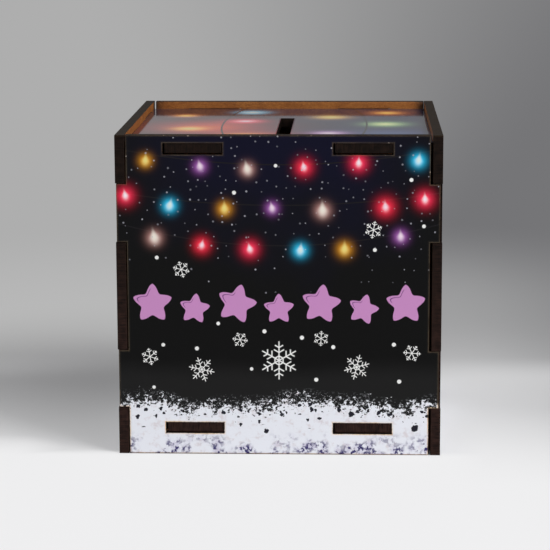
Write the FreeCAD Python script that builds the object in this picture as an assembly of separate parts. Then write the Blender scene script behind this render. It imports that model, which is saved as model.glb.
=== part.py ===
# Laser-cut hardboard money box: four walls that interlock at the corners with tabs and
# notches, a sunk top panel with a coin slot, a raised floor panel with an emptying hole,
# and a cover that swivels under the floor on one screw.
# Millimetres. +Z is up, the front faces -Y, and the origin is the middle of the base.
import FreeCAD
import Part
import math
import os

# Overall size
box_width = 100.0
box_depth = 100.0
box_height = 100.0
board = 3.0

# Tabs, notches and slots
corner_margin = 15.0
tab_width = 18.0
panel_tab_width = 17.5
joint_gap = 0.15  # above and below a corner tab
front_notch_play = 0.55  # from a corner notch's side to the side wall
back_notch_play = 0.4
front_wall_shift = 0.2  # within that play, each end wall to its own left
back_wall_shift = 0.25
slot_gap_above = 0.05  # a level panel's tab sits high in its slot
slot_gap_below = 0.45
slot_end_gap = 0.4  # at each end of a level panel's tab
panel_gap = 0.1  # from a level panel's edge to the wall
tab_setback = 0.2  # of a level panel's tab, from the wall's outer face
wall_tab_setback = 0.5  # of a corner tab, from the side wall's outer face

# Sunk top panel and its coin slot
top_recess = 2.5
coin_slot_length = 48.0
coin_slot_width = 4.4
coin_slot_forward = 6.2  # its middle, from the panel's middle
coin_slot_aside = 0.6

# Emptying hole and the swivelling cover below it
hole_radius = 20.0
cover_overlap = 5.0
cover_wall_gap = 1.0
pivot_end_radius = 8.0
swivel_slack = 0.1

# Pivot screw, washers and lock nut
screw_radius = 1.5
screw_past_nut = 0.8
screw_tip_chamfer = 0.4
head_overhang = 1.3
head_height = 2.0
head_rim = 0.8
head_ground_gap = 1.4
recess_length = 3.2
recess_width = 0.7
recess_depth = 1.1
bore_gap = 0.08
washer_gap = 0.1
washer_width = 1.9
washer_thickness = 0.5
thread_gap = 0.02
insert_wall = 0.48
insert_height = 1.1
collar_wall = 0.4
collar_height = 1.4
collar_lip = 0.25
nut_shoulder = 0.35
nut_hex_height = 2.6
nut_chamfer = 0.25

# Places that follow from the sizes above
half_width = box_width / 2
half_depth = box_depth / 2
inner_half_width = half_width - board
inner_half_depth = half_depth - board
slot_length = panel_tab_width + 2 * slot_end_gap
top_surface = box_height - top_recess
top_underside = top_surface - board
washer_bottom = head_ground_gap + head_height
cover_underside = washer_bottom + washer_thickness + swivel_slack
floor_underside = cover_underside + board + swivel_slack
floor_surface = floor_underside + board
cover_radius = hole_radius + cover_overlap
cover_corner = cover_wall_gap + cover_radius
cover_reach = 2 * (min(inner_half_width, inner_half_depth) - cover_corner)
pivot_x = cover_corner - inner_half_width
pivot_y = cover_corner - inner_half_depth
hole_x = pivot_x + cover_reach
bore_radius = screw_radius + bore_gap
head_radius = screw_radius + head_overhang
washer_bore = screw_radius + washer_gap
thread_radius = screw_radius + thread_gap
insert_radius = thread_radius + insert_wall
collar_radius = insert_radius + collar_wall
nut_seat = floor_surface + washer_thickness
nut_hex_top = nut_seat + nut_hex_height
nut_top = nut_hex_top + collar_height
insert_span = (nut_top - collar_lip - insert_height, nut_top - collar_lip)


def vec(x, y, z):
    return FreeCAD.Vector(x, y, z)


def block(x_range, y_range, z_range):
    """A box between two corners, given as a range along each axis."""
    low = vec(x_range[0], y_range[0], z_range[0])
    sides = [r[1] - r[0] for r in (x_range, y_range, z_range)]
    return Part.makeBox(*sides, low)


def rod(radius, z_range, x=0.0, y=0.0):
    """An upright cylinder."""
    return Part.makeCylinder(radius, z_range[1] - z_range[0], vec(x, y, z_range[0]))


def centred(middle, length):
    return (middle - length / 2, middle + length / 2)


def tab_middles(low, high):
    """The middles of the two tabs along an edge that runs from low to high."""
    inset = corner_margin + tab_width / 2
    return (low + inset, high - inset)


def tab_spans():
    """The height ranges of the front and back walls' tabs."""
    return [centred(z, tab_width) for z in tab_middles(0, box_height)]


def slot_levels():
    """The height ranges of the slots for the floor panel's and the top panel's tabs."""
    return [
        (floor_underside - slot_gap_below, floor_surface + slot_gap_above),
        (top_underside - slot_gap_below, top_surface + slot_gap_above),
    ]


def end_wall(y_range, notch_play, shift):
    """The front or back wall: two tabs on each side edge, and slots for the level panels."""
    tab_end = half_width - wall_tab_setback
    wall = block((-tab_end, tab_end), y_range, (0, box_height))
    (low_start, low_end), (high_start, high_end) = tab_spans()
    notches = [(0, low_start), (low_end, high_start), (high_end, box_height)]
    notch_end = inner_half_width - notch_play
    for side in ((-half_width, -notch_end), (notch_end, half_width)):
        for z_range in notches:
            wall = wall.cut(block(side, y_range, z_range))
    for x in tab_middles(-half_width, half_width):
        for z_range in slot_levels():
            wall = wall.cut(block(centred(x, slot_length), y_range, z_range))
    return wall.removeSplitter().translated(vec(shift, 0, 0))


def side_wall(x_range):
    """The left or right wall: three tabs on each upright edge that fill the end walls' notches."""
    wall = block(x_range, (-half_depth, half_depth), (0, box_height))
    for edge in ((-half_depth, -inner_half_depth), (inner_half_depth, half_depth)):
        for start, end in tab_spans():
            wall = wall.cut(block(x_range, edge, (start - joint_gap, end + joint_gap)))
    for y in tab_middles(-half_depth, half_depth):
        for z_range in slot_levels():
            wall = wall.cut(block(x_range, centred(y, slot_length), z_range))
    return wall.removeSplitter()


def level_panel(z_range):
    """A level panel inside the walls, with two tabs on each edge that pass into their slots."""
    reach_x = inner_half_width - panel_gap
    reach_y = inner_half_depth - panel_gap
    end_x = half_width - tab_setback
    end_y = half_depth - tab_setback
    panel = block((-reach_x, reach_x), (-reach_y, reach_y), z_range)
    for x in tab_middles(-half_width, half_width):
        panel = panel.fuse(block(centred(x, panel_tab_width), (-end_y, end_y), z_range))
    for y in tab_middles(-half_depth, half_depth):
        panel = panel.fuse(block((-end_x, end_x), centred(y, panel_tab_width), z_range))
    return panel.removeSplitter()


def top_panel():
    z_range = (top_underside, top_surface)
    slot_x = centred(coin_slot_aside, coin_slot_width)
    slot = block(slot_x, centred(-coin_slot_forward, coin_slot_length), z_range)
    return level_panel(z_range).cut(slot)


def floor_panel():
    z_range = (floor_underside, floor_surface)
    panel = level_panel(z_range)
    panel = panel.cut(rod(hole_radius, z_range, hole_x, pivot_y))
    return panel.cut(rod(bore_radius, z_range, pivot_x, pivot_y))


def hatch_cover():
    """A drop-shaped plate: a small round end on the pivot and a large one over the hole."""
    lean = math.acos((pivot_end_radius - cover_radius) / cover_reach)
    ends = []
    for middle_x, radius, outward in ((pivot_x, pivot_end_radius, -1), (hole_x, cover_radius, 1)):
        side_x = middle_x + radius * math.cos(lean)
        side_y = radius * math.sin(lean)
        ends.append(
            (
                vec(side_x, pivot_y - side_y, cover_underside),
                vec(middle_x + outward * radius, pivot_y, cover_underside),
                vec(side_x, pivot_y + side_y, cover_underside),
            )
        )
    small, large = ends
    outline = Part.Wire(
        [
            Part.Arc(*small).toShape(),
            Part.LineSegment(small[2], large[2]).toShape(),
            Part.Arc(large[2], large[1], large[0]).toShape(),
            Part.LineSegment(large[0], small[0]).toShape(),
        ]
    )
    plate = Part.Face(outline).extrude(vec(0, 0, board))
    z_range = (cover_underside, cover_underside + board)
    return plate.cut(rod(bore_radius, z_range, pivot_x, pivot_y))


def turned(profile):
    """A solid turned about the pivot's axis from (radius, height) points and arcs of three points."""
    edges = []
    for points in profile:
        places = [vec(pivot_x + radius, pivot_y, z) for radius, z in points]
        curve = Part.Arc(*places) if len(places) == 3 else Part.LineSegment(*places)
        edges.append(curve.toShape())
    face = Part.Face(Part.Wire(edges))
    return face.revolve(vec(pivot_x, pivot_y, 0), vec(0, 0, 1), 360)


def pivot_screw():
    """A pan-head screw with a cross recess, head down, standing through the cover and the floor."""
    dome_low = head_ground_gap
    dome_high = washer_bottom - head_rim
    dome_height = dome_high - dome_low
    dome_sphere = (head_radius**2 + dome_height**2) / (2 * dome_height)
    halfway = head_radius / 2
    halfway_z = dome_low + dome_sphere - math.sqrt(dome_sphere**2 - halfway**2)
    tip = nut_top + screw_past_nut
    tip_start = tip - screw_tip_chamfer
    tip_radius = screw_radius - screw_tip_chamfer
    screw = turned(
        [
            ((0, dome_low), (halfway, halfway_z), (head_radius, dome_high)),
            ((head_radius, dome_high), (head_radius, washer_bottom)),
            ((head_radius, washer_bottom), (screw_radius, washer_bottom)),
            ((screw_radius, washer_bottom), (screw_radius, tip_start)),
            ((screw_radius, tip_start), (tip_radius, tip)),
            ((tip_radius, tip), (0, tip)),
            ((0, tip), (0, dome_low)),
        ]
    )
    recess_z = (0, dome_low + recess_depth)
    for length, width in ((recess_length, recess_width), (recess_width, recess_length)):
        recess = block(centred(pivot_x, length), centred(pivot_y, width), recess_z)
        screw = screw.cut(recess)
    return screw


def washer(bottom):
    z_range = (bottom, bottom + washer_thickness)
    ring = rod(washer_bore + washer_width, z_range, pivot_x, pivot_y)
    return ring.cut(rod(washer_bore, z_range, pivot_x, pivot_y))


def lock_nut():
    """A hexagon with chamfered corners below a round collar that holds the nylon ring."""
    corner_radius = (collar_radius + nut_shoulder) / math.cos(math.radians(30))
    chamfer_radius = corner_radius - nut_chamfer
    corners = []
    for k in range(7):
        angle = math.radians(60 * k)
        x = pivot_x + corner_radius * math.cos(angle)
        y = pivot_y + corner_radius * math.sin(angle)
        corners.append(vec(x, y, nut_seat))
    hexagon = Part.Face(Part.makePolygon(corners)).extrude(vec(0, 0, nut_hex_height))
    low_edge = nut_seat + nut_chamfer
    high_edge = nut_hex_top - nut_chamfer
    chamfered = turned(
        [
            ((0, nut_seat), (chamfer_radius, nut_seat)),
            ((chamfer_radius, nut_seat), (corner_radius, low_edge)),
            ((corner_radius, low_edge), (corner_radius, high_edge)),
            ((corner_radius, high_edge), (chamfer_radius, nut_hex_top)),
            ((chamfer_radius, nut_hex_top), (0, nut_hex_top)),
            ((0, nut_hex_top), (0, nut_seat)),
        ]
    )
    collar = rod(collar_radius, (nut_hex_top, nut_top), pivot_x, pivot_y)
    nut = hexagon.common(chamfered).fuse(collar)
    nut = nut.cut(rod(insert_radius, insert_span, pivot_x, pivot_y))
    return nut.cut(rod(thread_radius, (nut_seat, nut_top), pivot_x, pivot_y))


def nut_insert():
    ring = rod(insert_radius, insert_span, pivot_x, pivot_y)
    return ring.cut(rod(thread_radius, insert_span, pivot_x, pivot_y))


nodes = {
    "front_wall": end_wall((-half_depth, -inner_half_depth), front_notch_play, -front_wall_shift),
    "back_wall": end_wall((inner_half_depth, half_depth), back_notch_play, back_wall_shift),
    "left_wall": side_wall((-half_width, -inner_half_width)),
    "right_wall": side_wall((inner_half_width, half_width)),
    "top_panel": top_panel(),
    "floor_panel": floor_panel(),
    "hatch_cover": hatch_cover(),
    "pivot_screw": pivot_screw(),
    "cover_washer": washer(washer_bottom),
    "floor_washer": washer(floor_surface),
    "lock_nut": lock_nut(),
    "lock_nut_insert": nut_insert(),
}

os.makedirs("parts", exist_ok=True)
for name, shape in nodes.items():
    shape.exportStep(f"parts/{name}.step")
    box = shape.BoundBox
    print(
        f"{name}: {len(shape.Solids)} solid, valid {shape.isValid()}, {shape.Volume:.1f} mm3,",
        f"{box.XLength:.2f} x {box.YLength:.2f} x {box.ZLength:.2f} mm from z {box.ZMin:.2f}",
    )
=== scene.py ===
import math
import random

import bmesh
import bpy
from mathutils import Matrix, Vector


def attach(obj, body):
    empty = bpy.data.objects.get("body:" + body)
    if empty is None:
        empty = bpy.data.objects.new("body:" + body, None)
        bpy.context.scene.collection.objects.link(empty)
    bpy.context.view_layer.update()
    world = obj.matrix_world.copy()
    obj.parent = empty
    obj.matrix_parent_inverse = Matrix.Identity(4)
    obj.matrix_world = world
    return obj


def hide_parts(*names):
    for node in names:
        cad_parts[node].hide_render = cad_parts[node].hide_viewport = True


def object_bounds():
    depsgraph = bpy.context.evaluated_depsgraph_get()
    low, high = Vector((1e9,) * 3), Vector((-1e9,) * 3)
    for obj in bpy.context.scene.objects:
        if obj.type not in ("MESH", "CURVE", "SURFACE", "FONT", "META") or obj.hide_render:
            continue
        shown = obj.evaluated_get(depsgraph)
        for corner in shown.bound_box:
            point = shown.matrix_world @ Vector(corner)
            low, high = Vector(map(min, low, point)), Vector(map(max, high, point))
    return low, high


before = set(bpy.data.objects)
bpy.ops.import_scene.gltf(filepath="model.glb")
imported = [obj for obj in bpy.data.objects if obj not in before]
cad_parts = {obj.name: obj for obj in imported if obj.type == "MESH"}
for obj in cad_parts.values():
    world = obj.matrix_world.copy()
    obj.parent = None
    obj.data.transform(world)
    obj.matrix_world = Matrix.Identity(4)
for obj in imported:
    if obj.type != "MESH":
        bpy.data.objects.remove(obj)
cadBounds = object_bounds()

scene = bpy.context.scene
mm = 0.001
halfFace = round(cadBounds[1][0] / mm, 3)  # from a face's middle to its edge, in mm
print("frame loaded:", ", ".join(sorted(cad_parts)))


# colours are noted as they look on screen, 0 to 255, and turned linear here
def ink(red, green, blue):
    def linear(c):
        return c / 12.92 if c <= 0.04045 else ((c + 0.055) / 1.055) ** 2.4
    return (linear(red / 255), linear(green / 255), linear(blue / 255), 1.0)


def deepen(colour, power=1.5):
    return tuple(channel ** power for channel in colour)


# small helpers for wiring shader nodes
def addNode(tree, kind, **settings):
    node = tree.nodes.new("ShaderNode" + kind)
    for name, value in settings.items():
        setattr(node, name, value)
    return node


def feed(tree, socket, value):
    if isinstance(value, bpy.types.NodeSocket):
        tree.links.new(value, socket)
    else:
        socket.default_value = value


def calc(tree, operation, *values):
    node = addNode(tree, "Math", operation=operation)
    for socket, value in zip(node.inputs, values):
        feed(tree, socket, value)
    return node.outputs[0]


def vecCalc(tree, operation, *values):
    node = addNode(tree, "VectorMath", operation=operation)
    for socket, value in zip(node.inputs, values):
        feed(tree, socket, value)
    single = operation in ("LENGTH", "DISTANCE", "DOT_PRODUCT")
    return node.outputs["Value" if single else "Vector"]


def axes(tree, vector):
    node = addNode(tree, "SeparateXYZ")
    tree.links.new(vector, node.inputs[0])
    return node.outputs


def ramp(tree, value, low, high, start=0.0, end=1.0):
    node = addNode(tree, "MapRange", interpolation_type="SMOOTHSTEP", clamp=True)
    for socket, given in zip(node.inputs, (value, low, high, start, end)):
        feed(tree, socket, given)
    return node.outputs["Result"]


def between(tree, amount, first, second):
    return calc(tree, "MULTIPLY_ADD", amount, calc(tree, "SUBTRACT", second, first), first)


def fading(tree, value, rate):  # falls from 1 toward 0 as the value grows
    return calc(tree, "EXPONENT", calc(tree, "MULTIPLY", value, -rate))


def layer(tree, amount, under, over, mode="MIX"):
    node = addNode(tree, "Mix", data_type="RGBA", blend_type=mode, clamp_factor=True)
    feed(tree, node.inputs[0], amount)
    feed(tree, node.inputs[6], under)  # the node's colour sockets come after those for other types
    feed(tree, node.inputs[7], over)
    return node.outputs[2]


def noise(tree, place, scale, detail=2.0, rough=0.5):
    node = addNode(tree, "TexNoise", noise_dimensions="3D")
    feed(tree, node.inputs["Vector"], place)
    for name, value in (("Scale", scale), ("Detail", detail), ("Roughness", rough)):
        node.inputs[name].default_value = value
    return node.outputs["Fac"]


def patches(tree, place, grain, span):  # noise, cut softly between two levels
    return ramp(tree, noise(tree, place, *grain), *span)


def dots(tree, place, spacing):  # distance to the nearest dot in mm, and a random colour for each
    node = addNode(tree, "TexVoronoi", voronoi_dimensions="2D", feature="F1")
    feed(tree, node.inputs["Vector"], place)
    node.inputs["Scale"].default_value = 1 / spacing
    pick = addNode(tree, "SeparateColor")
    tree.links.new(node.outputs["Color"], pick.inputs[0])
    return calc(tree, "MULTIPLY", node.outputs["Distance"], spacing), pick.outputs


def newGroup(name, inputs, outputs):
    group = bpy.data.node_groups.new(name, "ShaderNodeTree")
    for label, kind in inputs.items():
        group.interface.new_socket(label, in_out="INPUT", socket_type="NodeSocket" + kind)
    for label, kind in outputs.items():
        group.interface.new_socket(label, in_out="OUTPUT", socket_type="NodeSocket" + kind)
    given = group.nodes.new("NodeGroupInput").outputs
    result = group.nodes.new("NodeGroupOutput").inputs
    return group, given, result


def useGroup(tree, group, **values):
    node = addNode(tree, "Group", node_tree=group)
    for label, value in values.items():
        feed(tree, node.inputs[label], value)
    return node.outputs[0]


def newFinish(name):
    material = bpy.data.materials.new(name)
    material.use_nodes = True
    tree = material.node_tree
    return material, tree, tree.nodes["Principled BSDF"]


def objectPlace(tree):
    return addNode(tree, "TexCoord").outputs["Object"]


def bumped(tree, shader, height, distance, strength):
    node = addNode(tree, "Bump")
    node.inputs["Strength"].default_value = strength
    node.inputs["Distance"].default_value = distance
    tree.links.new(height, node.inputs["Height"])
    tree.links.new(node.outputs["Normal"], shader.inputs["Normal"])


printInks = {
    "night": ink(10, 10, 10),
    "navy": ink(10, 10, 31),
    # haze lightens the night ground low down: painted light from the white floor
    "haze": ink(26, 26, 26),
    "mauve": ink(64, 46, 54),
    "slate": ink(46, 48, 72),
    "dust": ink(176, 176, 186),
    "white": ink(232, 232, 230),
    "snow": ink(226, 228, 235),
    "snowShade": ink(212, 207, 212),
    "blot": ink(32, 32, 42),
    "stain": ink(54, 48, 100),
    "stainHaze": ink(186, 180, 204),
    "lilac": ink(192, 135, 186),
    "lilacLine": ink(118, 74, 124),
    "wire": ink(25, 23, 26),
    "edge": ink(70, 50, 34),
}
bulbInks = {  # glow, bulb itself, how far the bulb spreads in its glow, and the glow's size in mm
    "gold": (ink(229, 166, 43), ink(226, 210, 122), 1.5, 2.5),
    "rose": (ink(255, 66, 104), ink(242, 228, 234), 1.0, 3.0),
    "blue": (ink(64, 218, 255), ink(212, 228, 226), 1.4, 2.62),
    "violet": (ink(177, 110, 187), ink(232, 213, 226), 1.3, 2.45),
    "warm": (ink(207, 161, 154), ink(230, 223, 211), 1.7, 2.55),
    "red": (ink(252, 62, 90), ink(240, 214, 224), 1.0, 3.0),
    "green": (ink(60, 168, 110), ink(232, 240, 170), 1.5, 7.0),
    "orange": (ink(222, 92, 30), ink(255, 214, 120), 1.5, 6.4),
    "ember": (ink(200, 64, 38), ink(208, 86, 52), 1.0, 16.0),
    "dusk": (ink(56, 72, 112), ink(70, 88, 128), 1.0, 16.0),
}


# motifs of the print, each a node group that works in mm on the face
bulbGlow = {"nearFades": 2.0, "nearShare": 0.55, "farFades": 1.2, "farShare": 0.5, "coreFades": 0.8}
dropShape = {  # lengths are shares of the bulb's size
    "tapers": (-0.1, 0.6), "halfWidths": (0.26, 0.09), "lifts": 0.07, "halfHeight": 0.38, "crisp": 1.25,
}
roundShape = {"radius": 0.34, "crisp": 0.8}


def makeBulb(name, shape):  # a teardrop of light, tip up, or a round one, in a glow that deepens outward
    group, given, result = newGroup(
        name,
        {
            "Place": "Vector", "Middle": "Vector", "Size": "Float", "Turn": "Float",
            "Tint": "Color", "Deep": "Color", "Core": "Color", "Spread": "Float", "Under": "Color",
        },
        {"Colour": "Color"},
    )
    offset = vecCalc(group, "SUBTRACT", given["Place"], given["Middle"])
    share = vecCalc(group, "DIVIDE", offset, given["Size"])
    away = vecCalc(group, "LENGTH", share)
    square = calc(group, "MULTIPLY", away, away)
    near = calc(group, "MULTIPLY", fading(group, square, bulbGlow["nearFades"]), bulbGlow["nearShare"])
    far = calc(group, "MULTIPLY", fading(group, square, bulbGlow["farFades"]), bulbGlow["farShare"])
    lit = layer(group, far, given["Under"], given["Deep"], "ADD")
    lit = layer(group, near, lit, given["Tint"], "ADD")
    inner = vecCalc(group, "DIVIDE", share, given["Spread"])
    turned = addNode(group, "VectorRotate", rotation_type="Z_AXIS")
    feed(group, turned.inputs["Vector"], inner)
    feed(group, turned.inputs["Angle"], given["Turn"])
    local = axes(group, turned.outputs[0])
    if "radius" in shape:
        wide = calc(group, "DIVIDE", local["X"], shape["radius"])
        tall = calc(group, "DIVIDE", local["Y"], shape["radius"])
    else:
        narrow = ramp(group, local["Y"], *shape["tapers"], *shape["halfWidths"])
        wide = calc(group, "DIVIDE", local["X"], narrow)
        lifted = calc(group, "SUBTRACT", local["Y"], shape["lifts"])
        tall = calc(group, "DIVIDE", lifted, shape["halfHeight"])
    tear = calc(group, "MULTIPLY_ADD", wide, wide, calc(group, "MULTIPLY", tall, tall))
    core = fading(group, calc(group, "POWER", tear, shape["crisp"]), bulbGlow["coreFades"])
    feed(group, result["Colour"], layer(group, core, lit, given["Core"]))
    return group


flakeShapes = {  # bars: start along the arm, lean in degrees, and length, as shares of the arm
    "wide snowflake": {
        "bars": [(0, 0, 1), (0.42, 60, 0.3), (0.68, 60, 0.24), (0.24, 120, 0.14)], "halfWidth": 0.03,
    },
    "small snowflake": {"bars": [(0, 0, 1), (0.55, 60, 0.34), (0.86, 90, 0.16)], "halfWidth": 0.042},
}
flakeEdge = (0.02, -0.02)
wideFlakeFrom = 3.6  # arms over this length, in mm, take the wide shape


def makeFlake(name, shape):
    group, given, result = newGroup(
        name, {"Place": "Vector", "Middle": "Vector", "Size": "Float", "Turn": "Float"}, {"Mask": "Float"}
    )
    offset = axes(group, vecCalc(group, "SUBTRACT", given["Place"], given["Middle"]))
    away = vecCalc(group, "DISTANCE", given["Place"], given["Middle"])
    share = calc(group, "DIVIDE", away, given["Size"])
    angle = calc(group, "ARCTAN2", offset["Y"], offset["X"])
    fold = calc(group, "PINGPONG", calc(group, "ADD", angle, given["Turn"]), math.pi / 6)
    along = calc(group, "MULTIPLY", share, calc(group, "COSINE", fold))
    across = calc(group, "MULTIPLY", share, calc(group, "SINE", fold))
    nearest = None
    for start, lean, length in shape["bars"]:
        c, s = math.cos(math.radians(lean)), math.sin(math.radians(lean))
        moved = calc(group, "SUBTRACT", along, start)
        run = calc(group, "MULTIPLY_ADD", moved, c, calc(group, "MULTIPLY", across, s))
        side = calc(group, "MULTIPLY_ADD", moved, -s, calc(group, "MULTIPLY", across, c))
        beside = calc(group, "SUBTRACT", calc(group, "ABSOLUTE", side), shape["halfWidth"])
        before = calc(group, "MULTIPLY", run, -1.0)
        past = calc(group, "MAXIMUM", calc(group, "SUBTRACT", run, length), before)
        bar = calc(group, "MAXIMUM", beside, past)
        nearest = bar if nearest is None else calc(group, "MINIMUM", nearest, bar)
    feed(group, result["Mask"], ramp(group, nearest, *flakeEdge))
    return group


starShape = {  # lengths are shares of the star's reach, angles in radians
    "points": 5.0, "valleyPower": 0.7, "valleyDepth": 0.4, "edge": (1.02, 0.97),
    "shineAt": 0.8, "shineWidth": (0.045, 0.02), "shineMiddle": math.radians(135), "shineSpan": (0.75, 0.55),
}


def makeStar(name, shape):  # a plump star, with a line of shine inside its upper left
    group, given, result = newGroup(
        name,
        {"Place": "Vector", "Middle": "Vector", "Size": "Float", "Turn": "Float", "Under": "Color"},
        {"Colour": "Color"},
    )
    offset = axes(group, vecCalc(group, "SUBTRACT", given["Place"], given["Middle"]))
    away = vecCalc(group, "DISTANCE", given["Place"], given["Middle"])
    angle = calc(group, "ARCTAN2", offset["Y"], offset["X"])
    turned = calc(group, "ADD", angle, given["Turn"])
    wave = calc(group, "COSINE", calc(group, "MULTIPLY", turned, shape["points"]))
    valley = calc(group, "POWER", calc(group, "MULTIPLY_ADD", wave, -0.5, 0.5), shape["valleyPower"])
    drawnIn = calc(group, "MULTIPLY_ADD", valley, -shape["valleyDepth"], 1.0)
    share = calc(group, "DIVIDE", away, calc(group, "MULTIPLY", given["Size"], drawnIn))
    filled = layer(group, ramp(group, share, *shape["edge"]), given["Under"], printInks["lilac"])
    fromLine = calc(group, "ABSOLUTE", calc(group, "SUBTRACT", share, shape["shineAt"]))
    fromMiddle = calc(group, "ABSOLUTE", calc(group, "SUBTRACT", angle, shape["shineMiddle"]))
    line = ramp(group, fromLine, *shape["shineWidth"])
    shine = calc(group, "MULTIPLY", line, ramp(group, fromMiddle, *shape["shineSpan"]))
    feed(group, result["Colour"], layer(group, shine, filled, printInks["lilacLine"]))
    return group


dropBulb = makeBulb("drop of light", dropShape)
roundBulb = makeBulb("round light", roundShape)
plumpStar = makeStar("plump star", starShape)
wideFlake, smallFlake = [makeFlake(name, shape) for name, shape in flakeShapes.items()]
print("print motifs ready")


# the print: night ground, strings of lights, dust of snow, stars, snowflakes, snow bank
seedShift = (37.0, 61.0)  # sets each face's strewn patterns apart from the others', in mm
groundDrift = (0.035, 2)
dotEdge = (0.12, -0.12)
printGloss = {"grain": (900, 3), "varies": 0.1, "bump": (0.02 * mm, 0.3)}


def printFinish(face):
    material, tree, shader = newFinish(face["name"])
    spot = objectPlace(tree)
    right, up, place, shifted = facePlaces(tree, face, spot)
    isWall = face["bank"] is not None
    colour = groundWash(tree, face["ground"], right, up, shifted)
    if isWall:
        colour = wires(tree, face["wires"], right, up, colour)
    colour = lights(tree, face, place, colour)
    if not isWall:  # on the top they run the other way, over the lights
        colour = wires(tree, face["wires"], up, right, colour)
    if face["dust"]:
        colour = sprinkle(tree, face["dust"], shifted, up, colour)
    colour = starsAndFlakes(tree, face, place, colour)
    if isWall:
        colour = snowBank(tree, face["bank"], right, up, shifted, colour)
    colour, burnt = burnRim(tree, face, spot, up, colour)
    tree.links.new(colour, shader.inputs["Base Color"])
    grain = noise(tree, spot, *printGloss["grain"])
    varies = printGloss["varies"]
    gloss = calc(tree, "MULTIPLY_ADD", grain, varies, face["roughness"] - varies / 2)
    dull = ramp(tree, burnt, *singe["dulls"])
    feed(tree, shader.inputs["Roughness"], calc(tree, "MULTIPLY_ADD", dull, singe["dullShare"], gloss))
    shader.inputs["Specular IOR Level"].default_value = face["specular"]
    bumped(tree, shader, grain, *printGloss["bump"])
    return material


def facePlaces(tree, face, spot):  # in mm: across, up, both together, and both with the face's own shift
    right = calc(tree, "MULTIPLY", vecCalc(tree, "DOT_PRODUCT", spot, face["right"]), 1 / mm)
    up = calc(tree, "MULTIPLY", vecCalc(tree, "DOT_PRODUCT", spot, face["up"]), 1 / mm)
    join = addNode(tree, "CombineXYZ")
    for socket, value in zip(join.inputs, (right, up, face["seed"])):
        feed(tree, socket, value)
    place = vecCalc(tree, "MULTIPLY", join.outputs[0], (1, 1, 0))
    shift = (seedShift[0] * face["seed"], seedShift[1] * face["seed"], 0)
    return right, up, place, vecCalc(tree, "ADD", join.outputs[0], shift)


def groundWash(tree, ground, right, up, shifted):
    first, *washes = ground
    colour = printInks[first]
    drift = calc(tree, "MULTIPLY_ADD", noise(tree, shifted, *groundDrift), 2.0, -1.0)
    for along, low, high, strays, wash in washes:
        run = calc(tree, "MULTIPLY_ADD", drift, strays, right if along == "right" else up)
        colour = layer(tree, ramp(tree, run, low, high), colour, printInks[wash])
    return colour


def wires(tree, strung, along, across, colour):
    for middle, rise, width in strung:
        bend = calc(tree, "POWER", calc(tree, "DIVIDE", along, halfFace), 2.0)
        height = calc(tree, "ADD", calc(tree, "MULTIPLY", bend, rise), middle)
        gap = calc(tree, "ABSOLUTE", calc(tree, "SUBTRACT", across, height))
        colour = layer(tree, ramp(tree, gap, width, 0.3 * width), colour, printInks["wire"])
    return colour


def lights(tree, face, place, colour):
    for across, height, size, turn, tint in face["bulbs"]:
        glow, core, spread, _ = bulbInks[tint]
        colour = useGroup(
            tree, face["bulb"], Place=place, Middle=(across, height, 0), Size=size,
            Turn=math.radians(turn), Tint=glow, Deep=deepen(glow), Core=core, Spread=spread, Under=colour,
        )
    return colour


def sprinkle(tree, dust, shifted, up, colour):
    away, picks = dots(tree, shifted, dust["spacing"])
    least, most = dust["radius"]
    size = calc(tree, "MULTIPLY_ADD", picks["Red"], most - least, least)
    mask = ramp(tree, calc(tree, "DIVIDE", away, size), *dust["edge"])
    share = ramp(tree, up, *dust["thins"], dust["keep"], 0.0)
    kept = calc(tree, "LESS_THAN", picks["Green"], share)
    faint, strong = dust["strength"]
    strength = calc(tree, "MULTIPLY_ADD", picks["Blue"], strong - faint, faint)
    amount = calc(tree, "MULTIPLY", calc(tree, "MULTIPLY", mask, kept), strength)
    return layer(tree, amount, colour, printInks["dust"])


def starsAndFlakes(tree, face, place, colour):
    for across, height, size, turn in face["stars"]:
        colour = useGroup(
            tree, plumpStar, Place=place, Middle=(across, height, 0), Size=size,
            Turn=math.radians(turn), Under=colour,
        )
    for across, height, size, turn in face["flakes"]:
        shape = wideFlake if size > wideFlakeFrom else smallFlake
        mask = useGroup(
            tree, shape, Place=place, Middle=(across, height, 0), Size=size, Turn=math.radians(turn)
        )
        colour = layer(tree, mask, colour, printInks["white"])
    nearest = 1.0
    for across, height, size, _ in face["dots"]:
        reach = calc(tree, "SUBTRACT", vecCalc(tree, "DISTANCE", place, (across, height, 0)), size)
        nearest = calc(tree, "MINIMUM", nearest, reach)
    if face["dots"]:
        colour = layer(tree, ramp(tree, nearest, *dotEdge), colour, printInks["white"])
    return colour


bankLook = {
    "rippleWaves": 2.7, "rippleSwell": 0.4,  # its second wave, against the first
    "tufts": (0.3, 2), "tuftSpan": (1.4, -0.7), "crumbs": (0.95, 4, 0.7), "crumbSpan": (2.4, -1.2),
    "slope": 0.135, "edge": (-0.06, 0.06),
    "mottle": (0.45, 4, 0.65), "mottled": (0.5, 0.72),
    "spray": (1.5, 3, 0.6), "sprayed": (0.56, 0.66), "sprayRise": (-4.5, -0.5), "sprayShare": 0.55,
}


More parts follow.
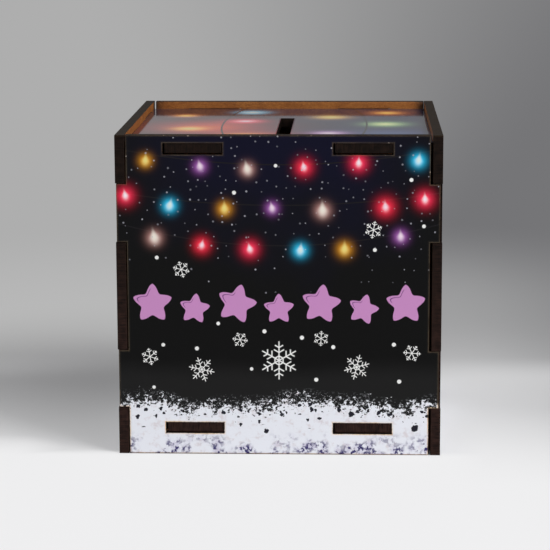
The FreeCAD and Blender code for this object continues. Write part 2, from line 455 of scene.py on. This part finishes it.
def snowBank(tree, bank, right, up, shifted, colour):
    swell = calc(tree, "SINE", calc(tree, "MULTIPLY_ADD", right, 1 / bank["wave"], bank["phase"]))
    ripple = calc(tree, "SINE", calc(tree, "MULTIPLY", right, bankLook["rippleWaves"] / bank["wave"]))
    crest = calc(tree, "MULTIPLY_ADD", swell, bank["swell"], bank["height"])
    crest = calc(tree, "MULTIPLY_ADD", ripple, bank["swell"] * bankLook["rippleSwell"], crest)
    depth = calc(tree, "SUBTRACT", crest, up)
    tufts = calc(tree, "MULTIPLY_ADD", noise(tree, shifted, *bankLook["tufts"]), *bankLook["tuftSpan"])
    crumbs = calc(tree, "MULTIPLY_ADD", noise(tree, shifted, *bankLook["crumbs"]), *bankLook["crumbSpan"])
    edge = calc(tree, "ADD", calc(tree, "MULTIPLY_ADD", depth, bankLook["slope"], tufts), crumbs)
    mottle = patches(tree, shifted, bankLook["mottle"], bankLook["mottled"])
    body = layer(tree, mottle, printInks["snow"], printInks["snowShade"])
    spray = patches(tree, shifted, bankLook["spray"], bankLook["sprayed"])
    above = calc(tree, "MULTIPLY", ramp(tree, depth, *bankLook["sprayRise"]), bankLook["sprayShare"])
    colour = layer(tree, calc(tree, "MULTIPLY", spray, above), colour, body)
    colour = layer(tree, ramp(tree, edge, *bankLook["edge"]), colour, body)
    colour = blots(tree, right, up, depth, shifted, colour)
    return stains(tree, up, shifted, colour)


blotLook = {
    "wobbleScale": 0.9, "wobble": (1.4, 1.4, 0), "edge": (1.1, 0.85), "starts": (0, 1), "thinsFrom": 0.4,
    "innerFree": (14.5, 13), "outerFree": (37, 38.5), "upperFree": (11.8, 12.8),  # around the slots, in mm
    "kinds": (  # spacing, share kept, largest radius and greatest depth below the crest
        (6.2, 0.75, 1.2, 11.0), (3.0, 0.9, 0.72, 9.0), (1.6, 0.5, 0.33, 6.0),
    ),
    "least": 0.3,
}


def blots(tree, right, up, depth, shifted, colour):  # dark splashes, kept off the two slots
    wobble = addNode(tree, "TexNoise", noise_dimensions="3D")
    feed(tree, wobble.inputs["Vector"], shifted)
    wobble.inputs["Scale"].default_value = blotLook["wobbleScale"]
    bent = vecCalc(tree, "MULTIPLY_ADD", wobble.outputs["Color"], blotLook["wobble"], shifted)
    aside = calc(tree, "ABSOLUTE", right)
    inner, outer = [ramp(tree, aside, *blotLook[side]) for side in ("innerFree", "outerFree")]
    free = calc(tree, "MAXIMUM", calc(tree, "MAXIMUM", inner, outer), ramp(tree, up, *blotLook["upperFree"]))
    least = blotLook["least"]
    for spacing, keep, most, deepest in blotLook["kinds"]:
        away, picks = dots(tree, bent, spacing)
        size = calc(tree, "MULTIPLY_ADD", picks["Red"], most * (1 - least), most * least)
        mask = ramp(tree, calc(tree, "DIVIDE", away, size), *blotLook["edge"])
        thins = ramp(tree, depth, deepest, deepest * blotLook["thinsFrom"])
        inside = calc(tree, "MULTIPLY", ramp(tree, depth, *blotLook["starts"]), thins)
        inside = calc(tree, "MULTIPLY", inside, free)
        kept = calc(tree, "LESS_THAN", picks["Green"], calc(tree, "MULTIPLY", inside, keep))
        colour = layer(tree, calc(tree, "MULTIPLY", mask, kept), colour, printInks["blot"])
    return colour


stainLook = {
    "patches": (0.13, 3), "patchy": (0.44, 0.57), "rises": (8, 2),
    "clouds": (0.5, 4, 0.6), "cloudy": (0.38, 0.62), "hazeShare": 0.7,
    "flecks": (0.75, 3, 0.6), "flecked": (0.48, 0.57),
}


def stains(tree, up, shifted, colour):  # violet shadows at the foot of the bank
    patch = patches(tree, shifted, stainLook["patches"], stainLook["patchy"])
    foot = calc(tree, "MULTIPLY", patch, ramp(tree, up, *stainLook["rises"]))
    cloud = patches(tree, shifted, stainLook["clouds"], stainLook["cloudy"])
    hazy = calc(tree, "MULTIPLY", calc(tree, "MULTIPLY", foot, cloud), stainLook["hazeShare"])
    colour = layer(tree, hazy, colour, printInks["stainHaze"])
    flecks = patches(tree, shifted, stainLook["flecks"], stainLook["flecked"])
    return layer(tree, calc(tree, "MULTIPLY", foot, flecks), colour, printInks["stain"])


singe = {
    "ragged": (1400, 3), "strays": (0.5, -0.25), "patches": (170, 2), "patchy": (0.34, 0.6, 0.35, 1.0),
    "keeps": (0.9, 0.66, 0.43), "adds": (0.046, 0.036, 0.025),  # what browning does to the ink
    "browns": (0.5, 0.85), "hazes": (0.0, 0.7), "hazeShare": 0.16,
    "bares": (0.9, 1.1), "bareShare": 0.75, "footStrays": 0.4, "footLineSpan": (0.6, 0.35, 0.0, 0.8),
    "dulls": (0.5, 0.9), "dullShare": 0.3,
}


def burnRim(tree, face, spot, up, colour):  # along every cut the ink turns brown, then is gone
    rim = addNode(tree, "Attribute", attribute_name="scorch").outputs["Fac"]
    ragged = noise(tree, spot, *singe["ragged"])
    burnt = calc(tree, "ADD", rim, calc(tree, "MULTIPLY_ADD", ragged, *singe["strays"]))
    browned = vecCalc(tree, "MULTIPLY_ADD", colour, singe["keeps"], singe["adds"])
    uneven = patches(tree, spot, singe["patches"], singe["patchy"])
    uneven = calc(tree, "MULTIPLY", uneven, face["rim"])
    brown = calc(tree, "MULTIPLY", ramp(tree, burnt, *singe["browns"]), uneven)
    haze = calc(tree, "MULTIPLY", ramp(tree, burnt, *singe["hazes"]), singe["hazeShare"] * face["rim"])
    colour = layer(tree, calc(tree, "MAXIMUM", brown, haze), colour, browned)
    bare = calc(tree, "MULTIPLY", ramp(tree, burnt, *singe["bares"]), singe["bareShare"] * face["rim"])
    if face["bank"]:  # a thin line of the edge ink along the walls' lower edges
        footLine = calc(tree, "MULTIPLY_ADD", ragged, singe["footStrays"], up)
        bare = calc(tree, "MAXIMUM", bare, ramp(tree, footLine, *singe["footLineSpan"]))
    return layer(tree, bare, colour, printInks["edge"]), burnt


# bare and cut hardboard, and what the fasteners are made of
rawLook = {
    "clouds": (160, 4, 0.6), "fibres": (1900, 4, 0.65), "fibreShare": 0.6, "tones": (0.32, 0.68),
    "dark": ink(116, 64, 24), "light": ink(160, 100, 44),
    "flecks": (900, 2), "fleckSquash": (1, 1, 3.5), "flecked": (0.62, 0.74), "fleckShare": 0.35,
    "fleck": ink(186, 130, 74),
    "strays": (0.5, -0.25), "burns": (0.8, 1.2), "burnShare": 0.7, "burnt": ink(54, 32, 17),
    # painted shade at the box's corners: where it starts and is full, how dark, and its ink
    "cornerShadeSpan": (42.5 * mm, 47.2 * mm), "cornerShadeShare": 0.92, "cornerShade": ink(30, 20, 14),
    "roughness": (0.25, 0.45), "specular": 0.25, "bump": (0.03 * mm, 0.5),
}


def rawFinish():
    material, tree, shader = newFinish("bare hardboard")
    spot = objectPlace(tree)
    cloudy = noise(tree, spot, *rawLook["clouds"])
    fibre = noise(tree, spot, *rawLook["fibres"])
    share = rawLook["fibreShare"]
    tone = calc(tree, "MULTIPLY_ADD", fibre, share, calc(tree, "MULTIPLY", cloudy, 1 - share))
    colour = layer(tree, ramp(tree, tone, *rawLook["tones"]), rawLook["dark"], rawLook["light"])
    squashed = vecCalc(tree, "MULTIPLY", spot, rawLook["fleckSquash"])
    fleck = patches(tree, squashed, rawLook["flecks"], rawLook["flecked"])
    colour = layer(tree, calc(tree, "MULTIPLY", fleck, rawLook["fleckShare"]), colour, rawLook["fleck"])
    rim = addNode(tree, "Attribute", attribute_name="scorch").outputs["Fac"]
    burnt = calc(tree, "ADD", rim, calc(tree, "MULTIPLY_ADD", fibre, *rawLook["strays"]))
    burn = calc(tree, "MULTIPLY", ramp(tree, burnt, *rawLook["burns"]), rawLook["burnShare"])
    colour = layer(tree, burn, colour, rawLook["burnt"])
    # painted shade darkens the bare board and its tabs at the box's corners
    place = axes(tree, spot)
    aside = [calc(tree, "ABSOLUTE", place[axis]) for axis in ("X", "Y")]
    cornerShade = ramp(tree, calc(tree, "MINIMUM", *aside), *rawLook["cornerShadeSpan"])
    colour = layer(tree, calc(tree, "MULTIPLY", cornerShade, rawLook["cornerShadeShare"]), colour, rawLook["cornerShade"])
    tree.links.new(colour, shader.inputs["Base Color"])
    feed(tree, shader.inputs["Roughness"], calc(tree, "MULTIPLY_ADD", fibre, *rawLook["roughness"]))
    shader.inputs["Specular IOR Level"].default_value = rawLook["specular"]
    bumped(tree, shader, fibre, *rawLook["bump"])
    return material


charLook = {
    "streaks": (3600, 3, 0.6), "drawnOut": 0.06, "soot": (420, 4, 0.6), "streakShare": 0.6,
    "tones": (0.34, 0.68),
    # the low tones are lighter than the high ones: painted light from the white floor's bounce
    "low": (ink(18, 11, 10), ink(54, 36, 31)), "high": (ink(9, 6, 5), ink(32, 21, 16)),
    "dusty": (ink(18, 13, 8), ink(48, 37, 26)),
    "rises": (15 * mm, 90 * mm), "dustFrom": (99.4 * mm, 99.9 * mm),
    "roughness": (0.25, 0.45), "specular": 0.06, "bump": (0.05 * mm, 0.5),
}


def charFinish(through):  # streaks are drawn out along the laser's beam
    material, tree, shader = newFinish("charred cut through " + through)
    spot = objectPlace(tree)
    squeeze = tuple(charLook["drawnOut"] if axis == through else 1 for axis in "xyz")
    streaks = noise(tree, vecCalc(tree, "MULTIPLY", spot, squeeze), *charLook["streaks"])
    soot = noise(tree, spot, *charLook["soot"])
    share = charLook["streakShare"]
    tone = calc(tree, "MULTIPLY_ADD", streaks, share, calc(tree, "MULTIPLY", soot, 1 - share))
    shade = ramp(tree, tone, *charLook["tones"])
    height = axes(tree, spot)["Z"]
    low, high, dusty = [layer(tree, shade, *charLook[part]) for part in ("low", "high", "dusty")]
    # painted light: the char lightens toward the bottom, for the light the white floor bounces up
    colour = layer(tree, ramp(tree, height, *charLook["rises"]), low, high)
    colour = layer(tree, ramp(tree, height, *charLook["dustFrom"]), colour, dusty)
    tree.links.new(colour, shader.inputs["Base Color"])
    feed(tree, shader.inputs["Roughness"], calc(tree, "MULTIPLY_ADD", soot, *charLook["roughness"]))
    shader.inputs["Specular IOR Level"].default_value = charLook["specular"]
    bumped(tree, shader, streaks, *charLook["bump"])
    return material


zincLook = {
    "clouds": (700, 3), "tones": (ink(176, 176, 172), ink(212, 212, 206)), "roughness": (0.2, 0.22),
    "dimples": (5000, 2), "bump": (0.01 * mm, 0.4),
}
nylonLook = {
    "clouds": (900, 2), "tones": (ink(222, 222, 214), ink(236, 236, 230)), "roughness": (0.1, 0.42),
    "subsurface": 0.1,
}


def zincFinish():
    material, tree, shader = newFinish("zinc plate")
    spot = objectPlace(tree)
    cloudy = noise(tree, spot, *zincLook["clouds"])
    tree.links.new(layer(tree, cloudy, *zincLook["tones"]), shader.inputs["Base Color"])
    shader.inputs["Metallic"].default_value = 1.0
    feed(tree, shader.inputs["Roughness"], calc(tree, "MULTIPLY_ADD", cloudy, *zincLook["roughness"]))
    bumped(tree, shader, noise(tree, spot, *zincLook["dimples"]), *zincLook["bump"])
    return material


def nylonFinish():
    material, tree, shader = newFinish("natural nylon")
    cloudy = noise(tree, objectPlace(tree), *nylonLook["clouds"])
    tree.links.new(layer(tree, cloudy, *nylonLook["tones"]), shader.inputs["Base Color"])
    feed(tree, shader.inputs["Roughness"], calc(tree, "MULTIPLY_ADD", cloudy, *nylonLook["roughness"]))
    shader.inputs["Subsurface Weight"].default_value = nylonLook["subsurface"]
    return material


# where the print's motifs lie on each face, in mm from the middle of the base
stringLook = {"aside": 1.6, "height": 0.9, "turn": 15, "size": (0.92, 1.08)}  # how far the bulbs vary


def lightString(middle, rise, places, tints, seed):
    pick = random.Random(seed)
    bulbs = []
    for index, across in enumerate(places):
        tint = tints[index % len(tints)]
        across += pick.uniform(-stringLook["aside"], stringLook["aside"])
        height = middle + rise * (across / halfFace) ** 2
        height += pick.uniform(-stringLook["height"], stringLook["height"])
        turn = pick.uniform(-stringLook["turn"], stringLook["turn"])
        bulbs.append((across, height, bulbInks[tint][3] * pick.uniform(*stringLook["size"]), turn, tint))
    return bulbs


def scatter(count, acrossMost, heights, sizes, gap, seed, clear=()):
    pick = random.Random(seed)
    found = []
    while len(found) < count:
        across, height = pick.uniform(-acrossMost, acrossMost), pick.uniform(*heights)
        apart = all(math.hypot(across - a, height - h) > gap for a, h, _, _ in found)
        if apart and all(math.hypot(across - a, height - h) > r for a, h, r in clear):
            found.append((across, height, pick.uniform(*sizes), pick.uniform(0, 60)))
    return found


snowDust = {
    "spacing": 3.4, "keep": 0.8, "radius": (0.17, 0.33), "edge": (1.2, 0.6), "strength": (0.16, 0.72),
    "thins": (76, 46),
}
nightSky = [  # ink, then washes over it: along, start, full, how far it strays, ink
    "night", ("up", 50, 100, 30, "navy"), ("right", 18, 56, 12, "night"), ("right", -18, -56, -12, "night"),
    # the haze wash, last, is painted light from the white floor on the lower ground
    ("up", 31, 23, 3, "haze"),
]
snowBase = {"height": 15.8, "swell": 1.3, "wave": 9.0, "phase": 0.6, "phaseStep": 1.7}
sixTints = ("rose", "blue", "gold", "violet", "warm", "red")
wallRight = {
    "front_wall": (1, 0, 0), "back_wall": (-1, 0, 0), "left_wall": (0, -1, 0), "right_wall": (0, 1, 0),
}
wallStrings = {  # middle height, rise to the sides, places across
    "front_wall": [
        (89.5, 5, (-40, -24, -8, 8, 24, 41)), (77, 4, (-46, -32, -17, -1, 15, 33, 46)),
        (64.5, 7, (-38, -22, -9, 6, 21, 37)),
    ],
    "back_wall": [
        (88, 6, (-43, -27, -11, 6, 22, 38)), (75, 5, (-36, -20, -3, 13, 29, 44)),
        (62, 8, (-42, -27, -12, 4, 20, 36)),
    ],
    "left_wall": [
        (90, 4, (-41, -26, -9, 7, 25, 40)), (76, 6, (-45, -31, -15, 1, 17, 31)),
        (63.5, 6, (-37, -21, -6, 9, 25, 42)),
    ],
    "right_wall": [
        (89, 5, (-39, -23, -7, 10, 26, 42)), (77.5, 3, (-44, -30, -14, 2, 18, 34)),
        (64, 7, (-40, -24, -8, 7, 22, 38)),
    ],
}
wallLook = {
    "up": (0, 0, 1), "roughness": 0.34, "specular": 0.08, "rim": 1.0, "ground": nightSky,
    "bulb": dropBulb, "dust": snowDust, "stars": [],
}
wallWire = {"lift": 1.5, "width": 0.26}
wallFlakes = {"count": 8, "acrossMost": 42, "heights": (25, 55), "sizes": (2.4, 6.0), "gap": 14}
upperDots = {"count": 6, "acrossMost": 45, "heights": (56, 92), "sizes": (0.5, 0.62), "gap": 14}
lowerDots = {"count": 11, "acrossMost": 45, "heights": (20, 42), "sizes": (0.5, 0.68), "gap": 10}
dotsKeepOff = {"bulbs": 4.2, "motifs": 2}
starRow = {
    "count": 7, "spacing": 13, "height": 47, "stagger": 0.8, "sizes": (6.2, 4.8), "turns": (-18, -11, -4),
}
frontFlakes = [
    (0, 30, 6.0, 30), (-24, 27, 4.0, 12), (24, 28, 4.0, 44), (-40, 31, 2.7, 20), (41, 32.5, 2.7, 5),
    (-12, 36.5, 2.4, 8), (13, 37, 2.4, 33), (-30, 58.5, 2.6, 15), (29, 71, 2.7, 40),
]
topFace = {
    "right": (1, 0, 0), "up": (0, 1, 0), "seed": 5.0, "roughness": 0.07, "specular": 0.1,
    "rim": 0.25, "ground": ["mauve", ("right", -25, 25, 30, "slate")], "bulb": roundBulb,
    "dots": [], "dust": None, "stars": [], "flakes": [], "bank": None,
    "bulbs": [
        (-24, -8, 20, 0, "ember"), (-9, -34, 16, 0, "ember"), (34, -26, 17, 0, "dusk"),
        (-34, 25, 5.2, 0, "orange"), (-30, -12, 6.4, 0, "gold"), (-12, 35, 6.4, 0, "blue"),
        (-13, 9, 6.8, 0, "red"), (15, 21, 6.6, 0, "gold"), (34, 34, 6.4, 0, "orange"),
        (33, 1, 8.0, 0, "green"), (-12, -31, 7.2, 0, "gold"), (15, -24, 6.8, 0, "violet"),
    ],
    "wires": [(-20, 6, 0.42), (27, -5, 0.42)],
}


def wallFace(node, number):  # the number sets the wall's tints and random draws
    bulbs = []
    for row, (middle, rise, places) in enumerate(wallStrings[node]):
        first = (2 * number + 4 * row) % len(sixTints)
        tints = sixTints[first:] + sixTints[:first]
        bulbs += lightString(middle, rise, places, tints, seed=7 * number + row)
    wireRows = [(middle + wallWire["lift"], rise, wallWire["width"]) for middle, rise, _ in wallStrings[node]]
    phase = snowBase["phase"] + snowBase["phaseStep"] * (number - 1)
    return {
        **wallLook, "right": wallRight[node], "seed": float(number), "bulbs": bulbs, "wires": wireRows,
        "flakes": scatter(**wallFlakes, seed=21 + 13 * number), "bank": {**snowBase, "phase": phase},
    }


def starsInRow(row):
    middle = (row["count"] - 1) / 2
    stars = []
    for k in range(row["count"]):
        height = row["height"] + row["stagger"] * (-1) ** k
        stars.append((row["spacing"] * (k - middle), height, row["sizes"][k % 2], row["turns"][k % 3]))
    return stars


def strewDots(face, number):
    taken = [(across, height, dotsKeepOff["bulbs"]) for across, height, *_ in face["bulbs"]]
    for across, height, size, _ in face["flakes"] + face["stars"]:
        taken.append((across, height, size + dotsKeepOff["motifs"]))
    face["dots"] = scatter(**upperDots, seed=90 + number, clear=taken)
    face["dots"] += scatter(**lowerDots, seed=60 + number, clear=taken)


printFaces = {node: wallFace(node, number) for number, node in enumerate(wallStrings, 1)}
printFaces["front_wall"].update(stars=starsInRow(starRow), flakes=frontFlakes)
for number, face in enumerate(printFaces.values(), 1):
    strewDots(face, number)
printFaces["top_panel"] = topFace
for node, face in printFaces.items():
    face["name"] = "print on " + node.replace("_", " ")

rawBoard = rawFinish()
zincPlate = zincFinish()
nylon = nylonFinish()
charAlong = {axis: charFinish(axis) for axis in "xyz"}
print("finishes ready")


# each piece starts from a merged copy of its CAD shape, with the sharp edges softened
def softened(node, shape):
    bm = bmesh.new()
    bm.from_mesh(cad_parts[node].data)
    bmesh.ops.remove_doubles(bm, verts=bm.verts, dist=shape["merge"])
    bmesh.ops.dissolve_limit(bm, angle_limit=shape["flatTo"], verts=bm.verts, edges=bm.edges)
    corners = [e for e in bm.edges if e.calc_face_angle(0) > shape["sharpFrom"]]
    bmesh.ops.bevel(
        bm, geom=corners, offset=shape["corner"], offset_type="OFFSET", affect="EDGES",
        segments=shape["segments"], profile=0.5, material=-1, clamp_overlap=True,
    )
    return bm


def placePiece(bm, name, shadeSharp, finishes):
    mesh = bpy.data.meshes.new(name)
    bm.to_mesh(mesh)
    bm.free()
    mesh.set_sharp_from_angle(angle=shadeSharp)
    for finish in finishes:
        mesh.materials.append(finish)
    piece = bpy.data.objects.new(name, mesh)
    scene.collection.objects.link(piece)
    return piece


# boards: softened corners and a rim for the burn marks
boardShape = {
    "merge": 0.001 * mm, "flatTo": math.radians(1), "sharpFrom": math.radians(30),
    "corner": 0.1 * mm, "segments": 2, "rim": 0.7 * mm, "levelFrom": 0.9999, "shadeSharp": math.radians(20),
}
boards = {  # the way through the board, its outer side, and its slot
    "front_wall": ("y", (0, -1, 0), "printed_board"),
    "back_wall": ("y", (0, 1, 0), "printed_board"),
    "left_wall": ("x", (-1, 0, 0), "printed_board"),
    "right_wall": ("x", (1, 0, 0), "printed_board"),
    "top_panel": ("z", (0, 0, 1), "printed_board"),
    "floor_panel": ("z", (0, 0, 1), "raw_board"),
    "hatch_cover": ("z", (0, 0, -1), "raw_board"),
}


def makeBoard(node, through, outward):
    bm = softened(node, boardShape)
    outward = Vector(outward)
    for side in (outward, -outward):
        bm.normal_update()
        level = [f for f in bm.faces if f.normal.dot(side) > boardShape["levelFrom"]]
        bmesh.ops.inset_region(
            bm, faces=level, thickness=boardShape["rim"], use_even_offset=True, use_boundary=True
        )
    bm.normal_update()
    scorch = bm.verts.layers.float.new("scorch")
    for face in bm.faces:
        facing = face.normal.dot(outward)
        face.material_index = 0 if facing > 0.5 else 1 if facing < -0.5 else 2  # outer, inner, cut
        face.smooth = True
        if abs(facing) < boardShape["levelFrom"]:
            for vert in face.verts:
                vert[scorch] = 1.0
    outer = printFinish(printFaces[node]) if node in printFaces else rawBoard
    finishes = (outer, rawBoard, charAlong[through])
    board = placePiece(bm, node + "_board", boardShape["shadeSharp"], finishes)
    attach(board, "hatch" if node == "hatch_cover" else "box")
    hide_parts(node)
    print("board", node, len(board.data.polygons), "faces")


for node, (through, outward, slot) in boards.items():
    makeBoard(node, through, outward)

# fasteners: only their edges are softened
fastenerShape = {
    "merge": 0.001 * mm, "flatTo": math.radians(1), "sharpFrom": math.radians(40),
    "corner": 0.06 * mm, "segments": 2,
}
fasteners = {
    "pivot_screw": (zincPlate, "zinc_steel"),
    "cover_washer": (zincPlate, "zinc_steel"),
    "floor_washer": (zincPlate, "zinc_steel"),
    "lock_nut": (zincPlate, "zinc_steel"),
    "lock_nut_insert": (nylon, "nylon"),
}


def makeFastener(node, finish):
    bm = softened(node, fastenerShape)
    for face in bm.faces:
        face.smooth = True
    fastener = placePiece(bm, node + "_plated", fastenerShape["sharpFrom"], [finish])
    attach(fastener, "box")
    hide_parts(node)


for node, (finish, slot) in fasteners.items():
    makeFastener(node, finish)
print("fasteners finished")


# camera at the photograph's angle
cameraView = {
    "place": (0.0244, -0.6918, 0.1779), "turn": 2.28, "down": 10.67, "roll": -0.21,
    "focalPixels": 2129, "framePixels": 550, "sensor": 36, "clipStart": 0.01,
}
camera = bpy.data.objects.new("camera", bpy.data.cameras.new("camera"))
camera.data.sensor_width = cameraView["sensor"]
camera.data.lens = cameraView["focalPixels"] / cameraView["framePixels"] * cameraView["sensor"]
camera.data.clip_start = cameraView["clipStart"]
camera.matrix_world = (
    Matrix.Translation(cameraView["place"])
    @ Matrix.Rotation(math.radians(cameraView["turn"]), 4, "Z")
    @ Matrix.Rotation(math.radians(90 - cameraView["down"]), 4, "X")
    @ Matrix.Rotation(math.radians(cameraView["roll"]), 4, "Z")
)
scene.collection.objects.link(camera)
scene.camera = camera


# studio: pale floor that greys with distance, soft lamps, grey world
studio = {
    "floorRadius": 6.0, "floorSides": 64, "roughness": 0.6, "specular": 0.2,
    "paint": ink(222, 222, 223), "nearTone": ink(242, 242, 243), "nearBy": (0.09, 0.05),
    "midLeft": ink(184, 184, 184), "midRight": ink(158, 158, 159),
    "farLeft": ink(174, 174, 174), "farRight": ink(117, 117, 119), "turns": (-0.173, 0.195),
    # how far from a point before the box the floor takes the tones behind it, left and right
    "middle": (0, -0.12, 0), "leavesLeft": (0.185, 0.325), "leavesRight": (0.12, 0.36), "fades": (0.29, 0.53),
    "dims": (0.06, 0.13), "dimShare": 0.5,
    # where the floor turns plain toward the viewer, along y, before the box and to its two sides, along x
    "front": (-0.042, -0.053), "frontPlain": 0.85, "haze": (0.06, -0.045), "hazePlain": 0.3,
    "leftFront": (-0.012, -0.055), "toLeft": (-0.055, -0.085),
    "rightFront": (0.03, -0.09), "toRight": (0.051, 0.066),
    # the box's outline on the floor, and the patch under it that lights the underside by steep rays
    "outline": (0.0495, 0.0505), "under": (0.036, 0.035), "steep": (0.54, 0.64),
}


def floorTones(tree, spot, place):  # how much of the tone behind the box shows, the paint, and that tone
    away = vecCalc(tree, "DISTANCE", spot, studio["middle"])
    aside = vecCalc(tree, "DOT_PRODUCT", vecCalc(tree, "NORMALIZE", spot), (1, 0, 0))
    toRight = ramp(tree, aside, *studio["turns"])
    leaves = [ramp(tree, away, *studio[side]) for side in ("leavesLeft", "leavesRight")]
    reach = between(tree, toRight, *leaves)
    dim = ramp(tree, place["X"], *studio["dims"], 0.0, studio["dimShare"])
    paint = layer(tree, dim, studio["paint"], studio["farRight"])
    midTone = layer(tree, toRight, studio["midLeft"], studio["midRight"])
    midTone = layer(tree, dim, midTone, studio["farRight"])
    farTone = layer(tree, toRight, studio["farLeft"], studio["farRight"])
    farTone = layer(tree, ramp(tree, away, *studio["fades"]), midTone, farTone)
    return reach, paint, farTone


def plainFront(tree, place, aroundBox):  # how plain the floor looks before the box and beside it
    front, right, left = [
        ramp(tree, place["Y"], *studio[part], 0.0, studio["frontPlain"])
        for part in ("front", "rightFront", "leftFront")
    ]
    haze = ramp(tree, place["Y"], *studio["haze"], 0.0, studio["hazePlain"])
    clear = ramp(tree, aroundBox, *studio["outline"])
    front = calc(tree, "MULTIPLY", calc(tree, "MAXIMUM", front, haze), clear)
    front = between(tree, ramp(tree, place["X"], *studio["toRight"]), front, right)
    left = calc(tree, "MULTIPLY", left, ramp(tree, place["X"], *studio["toLeft"]))
    return calc(tree, "MAXIMUM", front, left)


def floorFinish():
    material, tree, shader = newFinish("pale floor")
    spot = objectPlace(tree)
    place = axes(tree, spot)
    aroundBox = calc(tree, "MAXIMUM", *[calc(tree, "ABSOLUTE", place[axis]) for axis in ("X", "Y")])
    reach, paint, farTone = floorTones(tree, spot, place)
    tree.links.new(layer(tree, reach, paint, farTone), shader.inputs["Base Color"])
    shader.inputs["Roughness"].default_value = studio["roughness"]
    shader.inputs["Specular IOR Level"].default_value = studio["specular"]
    plain = addNode(tree, "Emission")
    plainTone = layer(tree, ramp(tree, place["Y"], *studio["nearBy"]), farTone, studio["nearTone"])
    tree.links.new(plainTone, plain.inputs["Color"])
    path = addNode(tree, "LightPath").outputs
    seen = calc(tree, "MAXIMUM", path["Is Camera Ray"], path["Is Glossy Ray"])
    share = calc(tree, "MAXIMUM", reach, plainFront(tree, place, aroundBox))
    # steep rays don't reach the gaps at the box's corners, so these stay dark
    geometry = addNode(tree, "NewGeometry").outputs
    steep = ramp(tree, axes(tree, geometry["Incoming"])["Z"], *studio["steep"])
    under = calc(tree, "MULTIPLY", ramp(tree, aroundBox, *studio["under"]), steep)
    bounced = calc(tree, "MAXIMUM", path["Is Diffuse Ray"], path["Is Glossy Ray"])
    lit = calc(tree, "MULTIPLY", bounced, under)
    shown = addNode(tree, "MixShader")
    feed(tree, shown.inputs[0], calc(tree, "MULTIPLY_ADD", seen, share, lit))
    tree.links.new(shader.outputs[0], shown.inputs[1])
    tree.links.new(plain.outputs[0], shown.inputs[2])
    # the floor is see-through from below, so that the underside can be looked at
    below = addNode(tree, "MixShader")
    tree.links.new(geometry["Backfacing"], below.inputs[0])
    tree.links.new(shown.outputs[0], below.inputs[1])
    tree.links.new(addNode(tree, "BsdfTransparent").outputs[0], below.inputs[2])
    tree.links.new(below.outputs[0], tree.nodes["Material Output"].inputs["Surface"])
    return material


def makeFloor():
    bm = bmesh.new()
    bmesh.ops.create_circle(
        bm, cap_ends=True, radius=studio["floorRadius"], segments=studio["floorSides"]
    )
    mesh = bpy.data.meshes.new("floor")
    bm.to_mesh(mesh)
    bm.free()
    mesh.materials.append(floorFinish())
    floor = bpy.data.objects.new("floor", mesh)
    scene.collection.objects.link(floor)


lampAim = (0, 0, 0.05)
lamps = {
    "key": {"place": (0.85, -0.65, 0.85), "size": 0.6, "power": 12.0},
    "fill": {"place": (-0.35, -1.2, 0.55), "size": 0.9, "power": 1.8},
    "overhead": {"place": (0.62, -0.4, 0.95), "size": 1.0, "power": 5.4},
}


def makeLamp(name, lamp):
    light = bpy.data.lights.new(name, "AREA")
    light.shape = "SQUARE"
    light.size = lamp["size"]
    light.energy = lamp["power"]
    place = Vector(lamp["place"])
    holder = bpy.data.objects.new(name, light)
    aim = (Vector(lampAim) - place).to_track_quat("-Z", "Y")
    holder.matrix_world = Matrix.Translation(place) @ aim.to_matrix().to_4x4()
    scene.collection.objects.link(holder)


def makeWorld():
    world = bpy.data.worlds.new("grey studio")
    world.use_nodes = True
    tree = world.node_tree
    aside = vecCalc(tree, "DOT_PRODUCT", addNode(tree, "TexCoord").outputs["Generated"], (1, 0, 0))
    toRight = ramp(tree, aside, *studio["turns"])
    tone = layer(tree, toRight, studio["farLeft"], studio["farRight"])
    background = tree.nodes["Background"]
    tree.links.new(tone, background.inputs["Color"])
    background.inputs["Strength"].default_value = 1.0
    scene.world = world


makeFloor()
for name, lamp in lamps.items():
    makeLamp(name, lamp)
makeWorld()
scene.view_settings.view_transform = "Standard"
print("studio ready")
